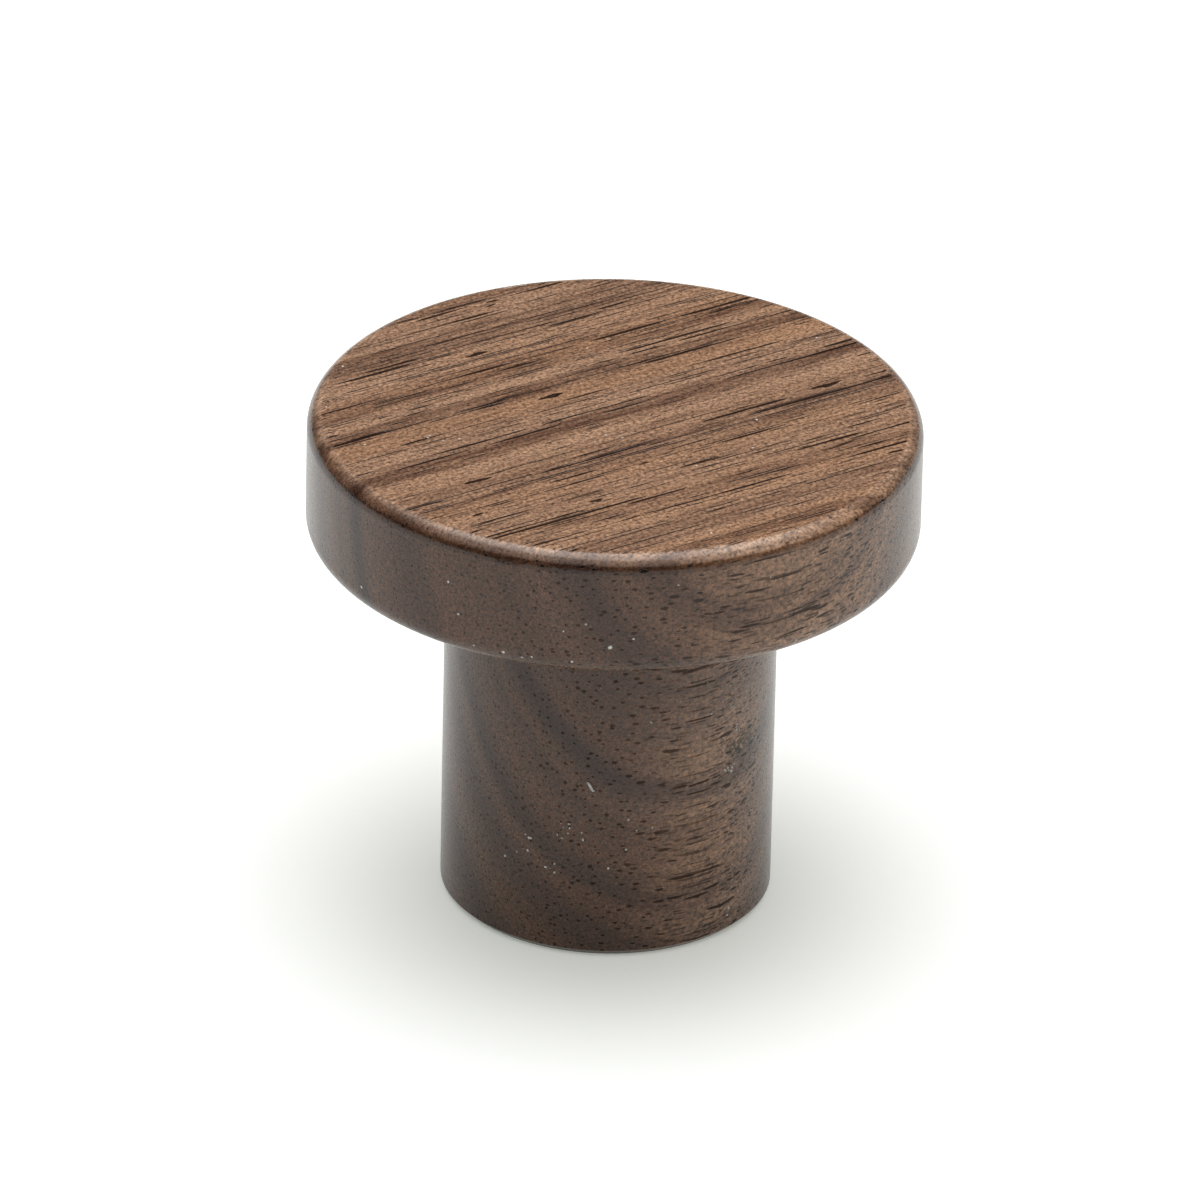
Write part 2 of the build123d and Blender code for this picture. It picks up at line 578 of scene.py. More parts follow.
def pores_in_wood(tree, wood, dark, end_grain):
    """1 in a pore of either size and 0 elsewhere.

    The swelling is a steady part plus an uneven one. The uneven part is a slow noise that
    gathers the pores in bunches, and more in dark wood. It is a quarter as strong on end
    grain, where the small pores are also fainter."""
    along, out, height = wood
    bunch = noise(tree, drawn_out(tree, wood, BUNCH_STRETCH), *BUNCH_NOISE)
    uneven = maths(tree, "MULTIPLY_ADD", dark, DARK_WOOD_SWELL, swing(tree, bunch, BUNCH_SWELL))
    uneven = maths(tree, "MULTIPLY", uneven, between(tree, end_grain, *UNEVEN_BY_GRAIN))
    swell = maths(tree, "ADD", uneven, between(tree, end_grain, *SWELL_BY_GRAIN))
    swell = maths(tree, "MINIMUM", swell, LARGEST_SWELL)
    large = use_group(tree, pores, Along=along, Out=out, Up=height, Swell=swell, **LARGE_PORES)
    shifted = maths(tree, "ADD", out, SMALL_PORE_SHIFT)
    swell = maths(tree, "ADD", swell, SMALL_PORE_EXTRA_SWELL)
    small = use_group(tree, pores, Along=along, Out=shifted, Up=height, Swell=swell, **SMALL_PORES)
    share = between(tree, end_grain, *SMALL_PORES_BY_GRAIN)
    faint = maths(tree, "MULTIPLY", small["Pore"], share)
    return maths(tree, "MAXIMUM", large["Pore"], faint)


# %% [markdown]
# ## Pores and edges under the lacquer
#
# Pores are open hollows that swallow light. Painted as flat dark spots, the ones on the
# upright sides would mirror the white paper and turn grey. The shader's mirror strength
# has to stay one number for the whole surface, so those pores are made part metal: a metal
# as dark as a pore mirrors almost nothing. On the rounded top edge the pores are filled, so
# most are left out, and the colour there is painted paler as a painted highlight. Just
# below it a darker line is painted, partly painted shade.

# %% Dull pores
HEAD_UNDERSIDE = 22.5
STEM_BLEND = 0.5
HEAD_PORE_DULLNESS = 0.5
STEM_PORE_DULLNESS = 0.75
UPRIGHT_LIMITS = (0.7, 0.3)


def pore_dullness(tree, pore, facing_up, height):
    """How far a pore is metal: not at all on the top face, and more on the stem than the head."""
    on_side_faces = smooth_step(tree, facing_up, *UPRIGHT_LIMITS)
    on_stem = smooth_step(tree, height, HEAD_UNDERSIDE + STEM_BLEND, HEAD_UNDERSIDE - STEM_BLEND)
    dullness = between(tree, on_stem, HEAD_PORE_DULLNESS, STEM_PORE_DULLNESS)
    return maths(tree, "MULTIPLY", maths(tree, "MULTIPLY", pore, on_side_faces), dullness)


# %% The mark on the stem
MARK_PLACE = on_side(stem_radius, 52.5, 12.0)
MARK_RADIUS = 1.8 * MM
MARK_CORE = 0.3
MARK_EDGE_NOISE = (1500.0, 3.0, 0.7)
MARK_MOTTLE_NOISE = (3000.0, 2.0)
MARK_MOTTLE_LIMITS = (0.32, 0.55)


def mark_on_stem(tree, place):
    """1 in the mark and 0 elsewhere.

    The distance to the mark's middle, plus noise of up to the mark's radius either way,
    is under the radius. Finer noise leaves bare spots in it."""
    reach = vector_maths(tree, "DISTANCE", place, MARK_PLACE)
    ragged = noise(tree, place, *MARK_EDGE_NOISE)
    reach = maths(tree, "ADD", reach, swing(tree, ragged, 2 * MARK_RADIUS))
    mark = smooth_step(tree, reach, MARK_RADIUS, MARK_CORE * MARK_RADIUS)
    mottle = noise(tree, place, *MARK_MOTTLE_NOISE)
    return maths(tree, "MULTIPLY", mark, smooth_step(tree, mottle, *MARK_MOTTLE_LIMITS))


# %% Dust in the finish
FINE_DUST_CELLS = 3500.0
FINE_DUST_SIZE = 0.34
FINE_DUST_SHARE = 0.2
FINE_DUST_COVER = 0.5
DUST_CLOUD_NOISE = (180.0, 2.0)
DUST_CLOUD_LIMITS = (0.5, 0.75)
SPECK_NOISE_SCALE = 7000.0
SPECK_RAGGED = (0.15 * MM, 0.15 * MM, 0.15 * MM)
# Specks on the head's side: degrees round from the front, millimetres up and the radius
SIDE_SPECKS = (
    (0.0, 24.45, 0.14),
    (-53.6, 24.1, 0.09),
    (-29.3, 25.15, 0.09),
    (-31.5, 27.0, 0.09),
    (4.2, 25.0, 0.08),
    (-8.7, 25.3, 0.07),
    (-26.0, 23.4, 0.08),
    (-20.0, 23.4, 0.12),
    (-16.5, 23.2, 0.16),
    (-14.5, 23.4, 0.10),
    (-7.0, 23.4, 0.09),
)
# Specks on the top face: millimetres right of and behind the axis, and the radius
TOP_SPECKS = (
    (-15.6, 5.1, 0.08),
    (11.4, 9.95, 0.07),
    (-16.4, 0.1, 0.07),
    (8.0, -0.3, 0.07),
    (5.5, -14.0, 0.08),
    (-14.1, -4.4, 0.07),
)
head_specks = [(on_side(head_radius, azimuth, up), radius) for azimuth, up, radius in SIDE_SPECKS]
head_specks += [(on_top(x, y), radius) for x, y, radius in TOP_SPECKS]


def dust_on_wood(tree, place):
    """How far dust hides the wood: thin fine dust in clouds, and the single specks.

    A speck is where the distance to its middle is under its radius. The place is first
    pushed aside by noise, which makes the speck's outline ragged."""
    clouds = smooth_step(tree, noise(tree, place, *DUST_CLOUD_NOISE), *DUST_CLOUD_LIMITS)
    share = maths(tree, "MULTIPLY", clouds, FINE_DUST_SHARE)
    fine = use_group(tree, dust, Place=place, Cells=FINE_DUST_CELLS, Share=share,
                     Size=FINE_DUST_SIZE)
    cover = maths(tree, "MULTIPLY", fine["Dust"], FINE_DUST_COVER)
    push = noise(tree, place, SPECK_NOISE_SCALE).node.outputs["Color"]
    shaken = vector_maths(tree, "MULTIPLY_ADD", push, SPECK_RAGGED, place)
    for middle, radius in head_specks:
        reach = vector_maths(tree, "DISTANCE", shaken, middle + Vector(SPECK_RAGGED) / 2)
        speck = smooth_step(tree, reach, radius * MM, DUST_CORE * radius * MM)
        cover = maths(tree, "MAXIMUM", cover, speck)
    return cover


print("specks on the head", len(head_specks))

# %% [markdown]
# ## The walnut
#
# End grain drinks up the finish and looks much darker than side grain, so the colour is
# darkened by how squarely the surface cuts the fibres. That number is the part of the
# surface's own direction that points along the grain. The layers then go on in this order:
# wood, pores, a painted shade line and a painted highlight at the top edge, the mark, and
# dust on top of everything.

# %% Material: lacquered walnut
PORE_COLOUR = linear(26, 13, 7)
END_GRAIN_TINT = linear(166, 154, 149)
# The darker line just below the rounded edge, partly painted shade
SHADE_LINE_TINT = linear(200, 190, 180)
# How much paler the rounded edge is painted: a painted highlight
PAINTED_EDGE_HIGHLIGHT = (1.20, 1.29, 1.38, 1.0)
MARK_COLOUR = linear(22, 30, 24)
MARK_COVER = 0.9
MARK_DULLNESS = 0.5
DUST_COLOUR = linear(246, 244, 239)
# The palest side grain is taken 10 degrees further round than the fibres run
PALEST_TURN = math.radians(10.0)
TURNED_GRAIN = (math.cos(GRAIN_AZIMUTH + PALEST_TURN), math.sin(GRAIN_AZIMUTH + PALEST_TURN), 0.0)
END_GRAIN_LIMITS = (0.08, 0.75)
SQUARELY_CUT_LIMITS = (0.8, 0.98)
# Where the painted shade line and the painted highlight lie, by how far the surface faces up
DARK_LINE = ((0.03, 0.12), (0.56, 0.42))
PAINTED_HIGHLIGHT_BAND = ((0.45, 0.65), (0.995, 0.97))
STREAKS_BY_GRAIN = (1.0, 0.25)
PORES_BY_GRAIN = (0.93, 0.75)
# What is left of the pores elsewhere, and where the mask is 1
PORES_SQUARELY_CUT = (1.0, 0.8)
PORES_ON_ROUNDED = (1.0, 0.25)
LACQUER_MIRROR_LEVEL = 0.5
LACQUER_ROUGHNESS = 0.23
ROUGHER_BY_SAND = 0.2
SMOOTHER_IN_PORES = -0.1
SAND_BUMP = 0.6
WOOD_BUMP_STRENGTH = 0.55
WOOD_BUMP_DEPTH = 0.02 * MM


def make_walnut():
    """Walnut: rings, mottle, pores, end grain, painted highlight and shade at the edge, the mark and
    dust.
    """
    material, tree, shader = new_material("lacquered_walnut")
    coordinates = tree.nodes.new("ShaderNodeTexCoord")
    place = coordinates.outputs["Object"]
    normal = coordinates.outputs["Normal"]
    facing_up = vector_maths(tree, "DOT_PRODUCT", normal, (0.0, 0.0, 1.0))
    facing_grain = vector_maths(tree, "DOT_PRODUCT", normal, TURNED_GRAIN)
    facing_grain = maths(tree, "ABSOLUTE", facing_grain)
    end_grain = smooth_step(tree, facing_grain, *END_GRAIN_LIMITS)
    squarely_cut = smooth_step(tree, facing_grain, *SQUARELY_CUT_LIMITS)
    dark_line = band(tree, facing_up, *DARK_LINE)
    rounded = band(tree, facing_up, *PAINTED_HIGHLIGHT_BAND)

    axes = use_group(tree, grain_axes, Place=place)
    wood = (axes["Along"], axes["Out"], axes["Up"])
    rings = use_group(tree, growth_rings, Along=axes["Along"], Out=axes["Out"], Up=axes["Up"],
                      Ring=axes["Ring"], Streaks=between(tree, end_grain, *STREAKS_BY_GRAIN))
    colour, sand = bare_wood(tree, wood, rings, end_grain)

    pore = pores_in_wood(tree, wood, rings["Dark"], end_grain)
    pore = maths(tree, "MULTIPLY", pore, between(tree, squarely_cut, *PORES_SQUARELY_CUT))
    pore = maths(tree, "MULTIPLY", pore, between(tree, rounded, *PORES_ON_ROUNDED))
    darkened = maths(tree, "MULTIPLY", pore, between(tree, end_grain, *PORES_BY_GRAIN))
    colour = mixed(tree, darkened, colour, PORE_COLOUR)
    colour = tinted(tree, end_grain, colour, END_GRAIN_TINT)
    # A darker line below the rounded edge, partly painted shade
    colour = tinted(tree, dark_line, colour, SHADE_LINE_TINT)
    # The rounded edge is painted paler: a painted highlight
    colour = tinted(tree, rounded, colour, PAINTED_EDGE_HIGHLIGHT)

    mark = mark_on_stem(tree, place)
    colour = mixed(tree, maths(tree, "MULTIPLY", mark, MARK_COVER), colour, MARK_COLOUR)
    colour = mixed(tree, dust_on_wood(tree, place), colour, DUST_COLOUR)
    tree.links.new(colour, shader.inputs["Base Color"])

    hollow = pore_dullness(tree, pore, facing_up, axes["Up"])
    dull = maths(tree, "MAXIMUM", hollow, maths(tree, "MULTIPLY", mark, MARK_DULLNESS))
    tree.links.new(dull, shader.inputs["Metallic"])
    roughness = maths(tree, "MULTIPLY_ADD", sand, ROUGHER_BY_SAND, LACQUER_ROUGHNESS)
    roughness = maths(tree, "MULTIPLY_ADD", pore, SMOOTHER_IN_PORES, roughness)
    tree.links.new(roughness, shader.inputs["Roughness"])
    shader.inputs["Specular IOR Level"].default_value = LACQUER_MIRROR_LEVEL
    raised = maths(tree, "SUBTRACT", maths(tree, "MULTIPLY", sand, SAND_BUMP), pore)
    add_bump(tree, shader, raised, WOOD_BUMP_STRENGTH, WOOD_BUMP_DEPTH)
    return material


walnut = make_walnut()
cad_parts["knob_body"].material_slots[0].material = walnut
print("walnut nodes", len(walnut.node_tree.nodes))

# %% [markdown]
# ## The threaded insert
#
# The insert is a turned brass barrel with a coarse thread outside, which bites into the
# wood, and a fine M4 thread inside for the screw. Its shape is one radius for each place
# round it and along it, outside and in. That makes it a grid closed both ways, like a ring:
# up the outside, across the top, down the bore and back across the bottom. Each thread is
# only a rule for the radius, so no helix has to be swept and joined to the barrel.

# %% Helpers for surfaces made from numbers
def mesh_piece(name, points, faces, material):
    """An object at the origin from arrays of points and faces, shaded smooth."""
    mesh = bpy.data.meshes.new(name)
    mesh.from_pydata(points.tolist(), [], faces.tolist())
    mesh.materials.append(material)
    mesh.shade_smooth()
    piece = bpy.data.objects.new(name, mesh)
    bpy.context.scene.collection.objects.link(piece)
    return piece


def grid_faces(rows, columns, closed_rows=False):
    """The four-cornered faces of a grid whose columns run round and close on themselves.

    A face joins point (row, column) to the next row and the next column."""
    row = np.arange(rows if closed_rows else rows - 1)[:, None]
    column = np.arange(columns)[None, :]
    next_row = (row + 1) % rows
    next_column = (column + 1) % columns
    corners = (row * columns + column, row * columns + next_column,
               next_row * columns + next_column, next_row * columns + column)
    return np.stack(corners, axis=-1).reshape(-1, 4)


def from_ridge(height, angle, first_height, pitch):
    """How far above or below the nearest turn of a right-hand helix each place is.

    A turn climbs one pitch in one round, so its height at an angle is the first height plus
    that share of the pitch. The rest is wrapped to within half a pitch."""
    above = height - first_height - pitch * angle / (2 * np.pi)
    return (above + pitch / 2) % pitch - pitch / 2


# %% The insert's two threads
INSERT_LOW, INSERT_HIGH = (corner.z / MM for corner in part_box("threaded_insert"))
INSERT_CORE = 3.2
LEAD_CHAMFER = 0.6
WOOD_THREAD_CREST = 4.0
WOOD_THREAD_HALF_CREST = 0.125
WOOD_THREAD_FLANK = math.radians(30.0)
WOOD_THREAD_PITCH = 2.5
# From each end of the barrel to the middle of the thread's first and last turn
WOOD_THREAD_INSET = 1.031
WOOD_THREAD_ENDS = (INSERT_LOW + WOOD_THREAD_INSET, INSERT_HIGH - WOOD_THREAD_INSET)
WOOD_THREAD_RUN_OUT = 0.12
TAPPED_RADIUS = 1.65
M4_RADIUS = 2.0
M4_PITCH = 0.7
M4_ANGLE = math.radians(60.0)
COUNTERSINK = 0.35


def outside_radius(height, angle):
    """The barrel with its chamfered tip and the wood thread's ridge.

    The ridge falls away from its crest at 30 degrees, until it meets the barrel. It runs out
    over a short stretch at both ends, where the nearest turn passes the thread's ends."""
    barrel = INSERT_CORE - np.maximum(0.0, height - (INSERT_HIGH - LEAD_CHAMFER))
    away = from_ridge(height, angle, WOOD_THREAD_ENDS[0], WOOD_THREAD_PITCH)
    beside = np.maximum(0.0, np.abs(away) - WOOD_THREAD_HALF_CREST)
    flank = beside / math.tan(WOOD_THREAD_FLANK)
    turn = height - away
    low, high = WOOD_THREAD_ENDS
    inside = np.clip(np.minimum(turn - low, high - turn) / WOOD_THREAD_RUN_OUT + 0.5, 0.0, 1.0)
    ridge = barrel + (WOOD_THREAD_CREST - flank - INSERT_CORE) * inside
    return np.maximum(barrel, ridge)


def bore_radius(height, angle):
    """The tapping bore, its countersinks and the groove of the M4 thread.

    The groove is a V of 60 degrees with a flat bottom an eighth of a pitch wide."""
    away = np.abs(from_ridge(height, angle, INSERT_LOW, M4_PITCH))
    groove = M4_RADIUS - np.maximum(0.0, away - M4_PITCH / 16) * math.tan(M4_ANGLE)
    from_end = np.minimum(height - INSERT_LOW, INSERT_HIGH - height)
    countersunk = TAPPED_RADIUS + COUNTERSINK - from_end
    return np.maximum(np.maximum(TAPPED_RADIUS, groove), countersunk)


print("insert from", round(INSERT_LOW, 2), "to", round(INSERT_HIGH, 2), "mm")

# %% The insert's blank and the cutter for its slot
INSERT_SIDES = 96
OUTSIDE_ROWS = 200
BORE_ROWS = 286
END_ROWS = 6
SLOT_WIDTH = 1.2
SLOT_DEPTH = 2.0
SLOT_OVERRUN = 1.0


def insert_blank(material):
    """The insert before its slot, as a grid closed both ways.

    A point lies at its radius times the cosine and sine of its angle, at its height. The
    flat ends run in even steps from one surface's radius to the other's."""
    angle = np.arange(INSERT_SIDES)[None, :] * 2 * np.pi / INSERT_SIDES
    up_outside = np.linspace(INSERT_LOW, INSERT_HIGH, OUTSIDE_ROWS)[:, None]
    down_bore = np.linspace(INSERT_HIGH, INSERT_LOW, BORE_ROWS)[:, None]
    outside = outside_radius(up_outside, angle)
    bore = bore_radius(down_bore, angle)
    across = np.linspace(0.0, 1.0, END_ROWS + 2)[1:-1, None]
    top_ring = outside[-1] + (bore[0] - outside[-1]) * across
    bottom_ring = bore[-1] + (outside[0] - bore[-1]) * across
    flat = np.ones((END_ROWS, 1))
    radius = np.concatenate([outside, top_ring, bore, bottom_ring]) * MM
    height = np.concatenate([up_outside, INSERT_HIGH * flat, down_bore, INSERT_LOW * flat]) * MM
    parts = np.broadcast_arrays(radius * np.cos(angle), radius * np.sin(angle), height)
    points = np.stack(parts, axis=-1).reshape(-1, 3)
    faces = grid_faces(len(radius), INSERT_SIDES, closed_rows=True)
    return mesh_piece("insert_blank", points, faces, material)


def slot_cutter(material):
    """A box right across the insert, from below its base up to the slot's floor."""
    half_width = SLOT_WIDTH / 2 * MM
    reach = 2 * WOOD_THREAD_CREST * MM
    under = -SLOT_OVERRUN * MM
    slot_floor = (INSERT_LOW + SLOT_DEPTH) * MM
    outline = ((-reach, -half_width), (reach, -half_width), (reach, half_width), (-reach, half_width))
    corners = [(x, y, z) for z in (under, slot_floor) for x, y in outline]
    sides = [(3, 2, 1, 0), (4, 5, 6, 7), (0, 1, 5, 4), (1, 2, 6, 5), (2, 3, 7, 6), (3, 0, 4, 7)]
    return mesh_piece("slot_cutter", np.array(corners), np.array(sides), material)


# %% Cut the slot
SHARP_ANGLE = math.radians(32.0)


def make_insert(material):
    """The blank less the cutter, with every edge that turns by over 32 degrees kept sharp."""
    blank = insert_blank(material)
    cutter = slot_cutter(material)
    cut = blank.modifiers.new("slot", "BOOLEAN")
    cut.operation = "DIFFERENCE"
    cut.solver = "EXACT"
    cut.object = cutter
    seen = blank.evaluated_get(bpy.context.evaluated_depsgraph_get())
    mesh = bpy.data.meshes.new_from_object(seen)
    mesh.name = "brass_insert"
    mesh.set_sharp_from_angle(angle=SHARP_ANGLE)
    insert = bpy.data.objects.new("brass_insert", mesh)
    bpy.context.scene.collection.objects.link(insert)
    for used in (blank, cutter):
        bpy.data.objects.remove(used)
    return insert


# %% [markdown]
# ## Machined brass
#
# Brass off an automatic lathe is bright but not polished. It has fine rings from the tool
# and is a little duller and browner in places. The rings are noise that changes only with the
# distance from the axis and with the height, so they run round the barrel by themselves.

# %% Material: machined brass
BRASS = linear(213, 178, 112)
DULL_BRASS = linear(168, 132, 78)
TOOL_RING_NOISE = (9000.0, 2.0)
DULL_NOISE = (500.0, 3.0, 0.6)
DULL_LIMITS = (0.45, 0.7)
BRIGHT_ROUGHNESS = 0.2
ROUGHER_BY_RINGS = 0.15
ROUGHER_WHERE_DULL = 0.15
BRASS_BUMP_STRENGTH = 0.5
BRASS_BUMP_DEPTH = 0.01 * MM


def make_brass():
    """Metal with fine tool rings, and clouds of duller metal."""
    material, tree, shader = new_material("machined_brass")
    place = tree.nodes.new("ShaderNodeTexCoord").outputs["Object"]
    level = vector_maths(tree, "MULTIPLY", place, (1.0, 1.0, 0.0))
    reach = vector_maths(tree, "LENGTH", level)
    height = vector_maths(tree, "DOT_PRODUCT", place, (0.0, 0.0, 1.0))
    rings = noise(tree, combine(tree, reach, height, 0.0), *TOOL_RING_NOISE)
    dull = smooth_step(tree, noise(tree, place, *DULL_NOISE), *DULL_LIMITS)
    tree.links.new(mixed(tree, dull, BRASS, DULL_BRASS), shader.inputs["Base Color"])
    roughness = maths(tree, "MULTIPLY_ADD", rings, ROUGHER_BY_RINGS, BRIGHT_ROUGHNESS)
    roughness = maths(tree, "MULTIPLY_ADD", dull, ROUGHER_WHERE_DULL, roughness)
    tree.links.new(roughness, shader.inputs["Roughness"])
    shader.inputs["Metallic"].default_value = 1.0
    add_bump(tree, shader, rings, BRASS_BUMP_STRENGTH, BRASS_BUMP_DEPTH)
    return material


insert = make_insert(make_brass())
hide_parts("threaded_insert")
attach(insert, "root")
print("insert faces", len(insert.data.polygons))

# %% [markdown]
# ## Dust and lint on the stem
#
# The larger grains of dust and the curl of lint catch the light and throw small shadows, so
# they are meshes. Each grain is a ball pushed out of shape and half sunk in the surface. A
# particle system could scatter them, but the photograph shows where each group lies, so
# they are placed by the degrees round the stem and the height.

# %% Where the grains of dust lie
# Degrees round from the front, millimetres up, how many grains and how far they spread
DUST_GROUPS = (
    (-2.8, 17.5, 1, 0.0),
    (37.7, 14.9, 1, 0.0),
    (35.6, 14.0, 1, 0.0),
    (48.0, 14.8, 4, 0.3),
    (49.5, 13.3, 5, 0.4),
    (48.5, 11.0, 10, 0.45),
    (44.5, 10.9, 2, 0.3),
    (61.0, 11.7, 2, 0.2),
    (-32.0, 6.0, 2, 0.1),
    (-28.3, 6.3, 2, 0.2),
    (-27.0, 7.4, 3, 0.4),
    (-37.0, 5.4, 1, 0.0),
    (-19.5, 5.4, 5, 0.6),
    (-12.0, 7.6, 9, 1.6),
    (1.0, 5.8, 1, 0.0),
    (-17.0, 7.7, 1, 0.0),
    (47.8, 1.4, 2, 0.3),
    (25.0, 15.5, 6, 2.6),
)


def round_the_stem(azimuth, height, lift=0.0):
    """Places on the stem from arrays of degrees and metres, raised by lift from its surface."""
    angle = np.radians(azimuth)
    radius = stem_radius + lift
    parts = np.broadcast_arrays(np.sin(angle) * radius, -np.cos(angle) * radius, height)
    return np.stack(parts, axis=-1)


print("dust grains", sum(group[2] for group in DUST_GROUPS), "in", len(DUST_GROUPS), "groups")

# %% Grains of dust
DUST_SEED = 4
DUST_SCATTER = 0.5
GRAIN_RADII = (0.03, 0.072)
GRAIN_STRETCH = (0.6, 1.4)
GRAIN_DENTS = (0.75, 1.1)


def make_dust_grains(material):
    """Every grain is the same ball of 42 points, with its own size, stretch and dents.

    A point of a grain is the grain's middle plus the ball's point times the grain's size,
    times its stretch in each direction, times the point's own dent. The middle is the
    group's place plus a random step that grows with the group's spread."""
    random = np.random.default_rng(DUST_SEED)
    groups = np.array(DUST_GROUPS)
    which = np.repeat(np.arange(len(groups)), groups[:, 2].astype(int))
    azimuth, height, _, spread = groups[which].T
    scatter = random.normal(0.0, DUST_SCATTER, (2, len(which))) * spread
    azimuth = azimuth + np.degrees(scatter[0] * MM / stem_radius)
    middle = round_the_stem(azimuth, (height + scatter[1]) * MM)

    ball = bmesh.new()
    bmesh.ops.create_icosphere(ball, subdivisions=2, radius=1.0)
    points = np.array([corner.co[:] for corner in ball.verts])
    faces = np.array([[corner.index for corner in face.verts] for face in ball.faces])
    ball.free()
    size = random.uniform(*GRAIN_RADII, (len(which), 1, 1)) * MM
    stretch = random.uniform(*GRAIN_STRETCH, (len(which), 1, 3))
    dents = random.uniform(*GRAIN_DENTS, (len(which), len(points), 1))
    grains = middle[:, None, :] + points[None] * size * stretch * dents
    numbers = faces[None] + len(points) * np.arange(len(which))[:, None, None]
    return mesh_piece("dust_grains", grains.reshape(-1, 3), numbers.reshape(-1, 3), material)


# %% The curl of lint
LINT_PLACE = (-5.7, 11.1)
LINT_RADIUS = 0.085 * MM
LINT_STEPS = 28
LINT_SIDES = 8
# Degrees round the stem, then millimetres up, from the lint's place to its first point and
# from there to its last
LINT_START = (-1.3, 0.2)
LINT_TRAVEL = (2.8, -0.45)
LINT_WAVE = 0.09
LINT_LIFT = 0.04
LINT_ARCH = 0.03
THINNEST_SHARE = 0.02
THINNING_POWER = 0.3


def unit(vectors):
    """The same directions with a length of one."""
    return vectors / np.linalg.norm(vectors, axis=1, keepdims=True)


def lint_path():
    """Points down and to the right, on one whole sine wave, arched away from the stem."""
    share = np.linspace(0.0, 1.0, LINT_STEPS)
    azimuth = LINT_PLACE[0] + LINT_START[0] + LINT_TRAVEL[0] * share
    wave = LINT_WAVE * np.sin(2.0 * np.pi * share)
    height = (LINT_PLACE[1] + LINT_START[1] + LINT_TRAVEL[1] * share + wave) * MM
    lift = (LINT_LIFT + LINT_ARCH * np.sin(np.pi * share)) * MM
    return share, round_the_stem(azimuth, height, lift)


def make_lint(material):
    """A thin tube that bends one way and then the other, thinner at both ends.

    Two directions at right angles to the path, one of them out of the stem, carry the
    tube's circles. Their radius is LINT_RADIUS times a power of the sine along the path."""
    share, path = lint_path()
    forward = unit(np.gradient(path, axis=0))
    outwards = unit(path * (1.0, 1.0, 0.0))
    across = unit(np.cross(forward, outwards))
    outwards = np.cross(across, forward)
    thickness = LINT_RADIUS * np.maximum(THINNEST_SHARE, np.sin(np.pi * share)) ** THINNING_POWER
    angle = np.arange(LINT_SIDES) * 2 * np.pi / LINT_SIDES
    ring = outwards[:, None, :] * np.cos(angle)[None, :, None]
    ring = ring + across[:, None, :] * np.sin(angle)[None, :, None]
    points = (path[:, None, :] + ring * thickness[:, None, None]).reshape(-1, 3)
    faces = grid_faces(LINT_STEPS, LINT_SIDES).tolist()
    faces.append(list(range(LINT_SIDES))[::-1])
    faces.append(list(range(len(points) - LINT_SIDES, len(points))))
    return mesh_piece("lint_curl", points, np.array(faces, dtype=object), material)


# %% Material: dust and lint
DUST_PALE = linear(248, 247, 243)
DUST_GREY = linear(214, 212, 207)
DUST_ROUGHNESS = 0.9
DUST_PATCH_NOISE = (6000.0, 2.0)
DUST_PATCH_LIMITS = (0.4, 0.7)


def make_dust_material():
    """Matt and pale, with fine greyer patches."""
    material, tree, shader = new_material("pale_dust")
    place = tree.nodes.new("ShaderNodeTexCoord").outputs["Object"]
    patches = smooth_step(tree, noise(tree, place, *DUST_PATCH_NOISE), *DUST_PATCH_LIMITS)
    tree.links.new(mixed(tree, patches, DUST_PALE, DUST_GREY), shader.inputs["Base Color"])
    shader.inputs["Roughness"].default_value = DUST_ROUGHNESS
    return material


dust_material = make_dust_material()
for piece in (make_dust_grains(dust_material), make_lint(dust_material)):
    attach(piece, "root")
    print(piece.name, len(piece.data.polygons), "faces")

# %% [markdown]
# ## The floor
#
# The knob stands on white paper. Plain white paper would either look grey in the picture
# or throw too much light up at the knob. So the paper answers in two ways: rays from the
# camera and in reflections see it bright, with a faint glow of its own, and all other
# rays see a duller paper.

# %% Floor
FLOOR_HALF_SIDE = 3.0
FLOOR_GAP = 0.02 * MM
FLOOR_CORNERS = ((-1, -1), (1, -1), (1, 1), (-1, 1))
PAPER_LIT_SHARE = 0.95
PAPER_GLOW = 0.27
PAPER_GLOW_COLOUR = linear(248, 255, 244)
PAPER_IN_REFLECTIONS = 0.90
PAPER_BOUNCE = linear(196, 197, 194)


def either_shader(tree, share, first, second):
    """One of two shaders: share 0 gives the first and 1 the second."""
    node = tree.nodes.new("ShaderNodeMixShader")
    for socket, output in zip(node.inputs, (share, first, second)):
        tree.links.new(output, socket)
    return node.outputs[0]


corners = [(x * FLOOR_HALF_SIDE, y * FLOOR_HALF_SIDE, -FLOOR_GAP) for x, y in FLOOR_CORNERS]
floor_mesh = bpy.data.meshes.new("floor")
floor_mesh.from_pydata(corners, [], [(0, 1, 2, 3)])
floor = bpy.data.objects.new("floor", floor_mesh)
bpy.context.scene.collection.objects.link(floor)

# %% Material: the paper
paper, tree, shader = new_material("white_paper")
tree.nodes.remove(shader)
rays = tree.nodes.new("ShaderNodeLightPath").outputs
seen = maths(tree, "MAXIMUM", rays["Is Camera Ray"], rays["Is Glossy Ray"])
seen = maths(tree, "MAXIMUM", seen, rays["Is Transmission Ray"])
dimming = between(tree, rays["Is Camera Ray"], PAPER_IN_REFLECTIONS, 1.0)
lit = maths(tree, "MULTIPLY", dimming, PAPER_LIT_SHARE)
shown = tree.nodes.new("ShaderNodeBsdfDiffuse")
tree.links.new(combine(tree, lit, lit, lit), shown.inputs["Color"])
glow = tree.nodes.new("ShaderNodeEmission")
glow.inputs["Color"].default_value = PAPER_GLOW_COLOUR
tree.links.new(maths(tree, "MULTIPLY", dimming, PAPER_GLOW), glow.inputs["Strength"])
both = tree.nodes.new("ShaderNodeAddShader")
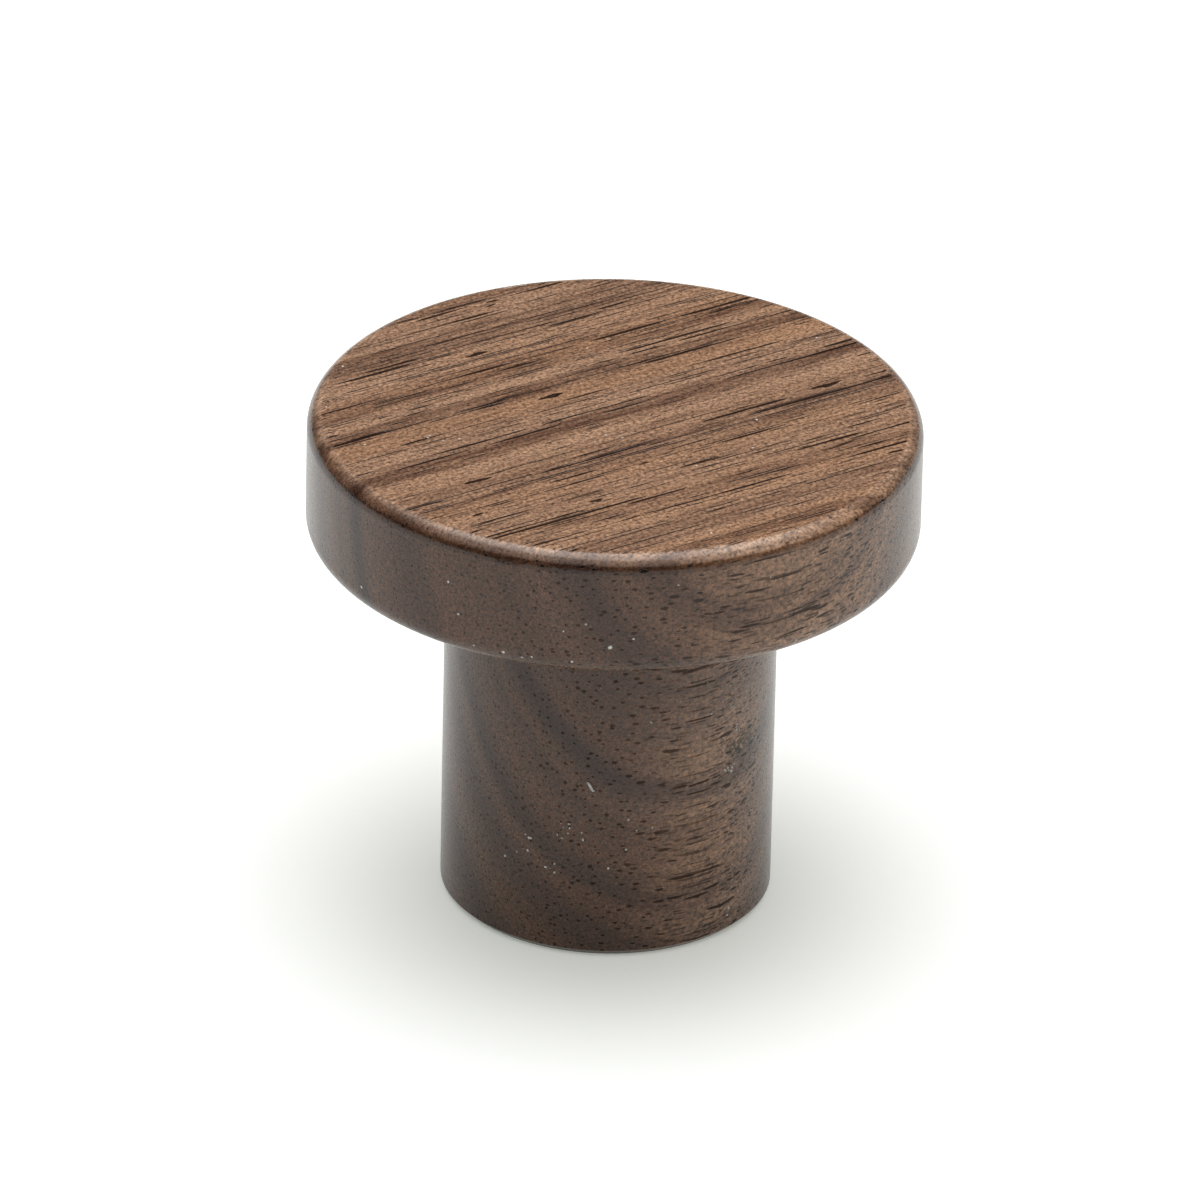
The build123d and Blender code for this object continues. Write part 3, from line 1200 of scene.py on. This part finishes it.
tree.links.new(shown.outputs[0], both.inputs[0])
tree.links.new(glow.outputs[0], both.inputs[1])
bouncing = tree.nodes.new("ShaderNodeBsdfDiffuse")
bouncing.inputs["Color"].default_value = PAPER_BOUNCE
answer = either_shader(tree, seen, bouncing.outputs[0], both.outputs[0])
tree.links.new(answer, tree.nodes["Material Output"].inputs["Surface"])
floor_mesh.materials.append(paper)
print("paper nodes", len(tree.nodes))

# %% [markdown]
# ## The light
#
# A soft box hangs overhead, with a wide dimmer ceiling round it and a room that is dark
# lower down. The soft box makes the highlight on the rounded edge, and both are wide, so
# the shadow is soft. Lamps could stand for them, but they would light the paper unevenly.
# A sky with two round patches gives even light. The sky is shown white to the camera.

# %% Light
WHITE = (1.0, 1.0, 1.0, 1.0)
SOFT_BOX_STRENGTH = 3.5
CEILING_STRENGTH = 0.95
ROOM_STRENGTH = 0.04
# Degrees from each patch's middle to where it has faded out and to where it is full
SOFT_BOX_EDGE = (31.0, 23.0)
CEILING_EDGE = (52.0, 44.0)
# Degrees back from straight up to each patch's middle
SOFT_BOX_TILT = 10.0
CEILING_TILT = -9.0


def round_light(tree, direction, tilt, edge):
    """1 in a round patch of sky and 0 outside it, by the cosine of the angle to its middle."""
    angle = math.radians(tilt)
    middle = (0.0, math.sin(angle), math.cos(angle))
    towards = vector_maths(tree, "DOT_PRODUCT", direction, middle)
    faded, full = (math.cos(math.radians(degrees)) for degrees in edge)
    return smooth_step(tree, towards, faded, full)


world = bpy.data.worlds.new("studio")
bpy.context.scene.world = world
world.use_nodes = True
tree = world.node_tree
direction = tree.nodes.new("ShaderNodeTexCoord").outputs["Generated"]
ceiling = round_light(tree, direction, CEILING_TILT, CEILING_EDGE)
overhead = round_light(tree, direction, SOFT_BOX_TILT, SOFT_BOX_EDGE)
strength = between(tree, ceiling, ROOM_STRENGTH, CEILING_STRENGTH)
strength = maths(tree, "MULTIPLY_ADD", overhead, SOFT_BOX_STRENGTH - CEILING_STRENGTH, strength)
lighting = tree.nodes["Background"]
tree.links.new(strength, lighting.inputs["Strength"])
lighting.inputs["Color"].default_value = WHITE
white = tree.nodes.new("ShaderNodeBackground")
white.inputs["Color"].default_value = WHITE
rays = tree.nodes.new("ShaderNodeLightPath").outputs
sky = either_shader(tree, rays["Is Camera Ray"], lighting.outputs[0], white.outputs[0])
tree.links.new(sky, tree.nodes["World Output"].inputs["Surface"])
bpy.context.scene.view_settings.view_transform = "Standard"
print("sky nodes", len(tree.nodes))
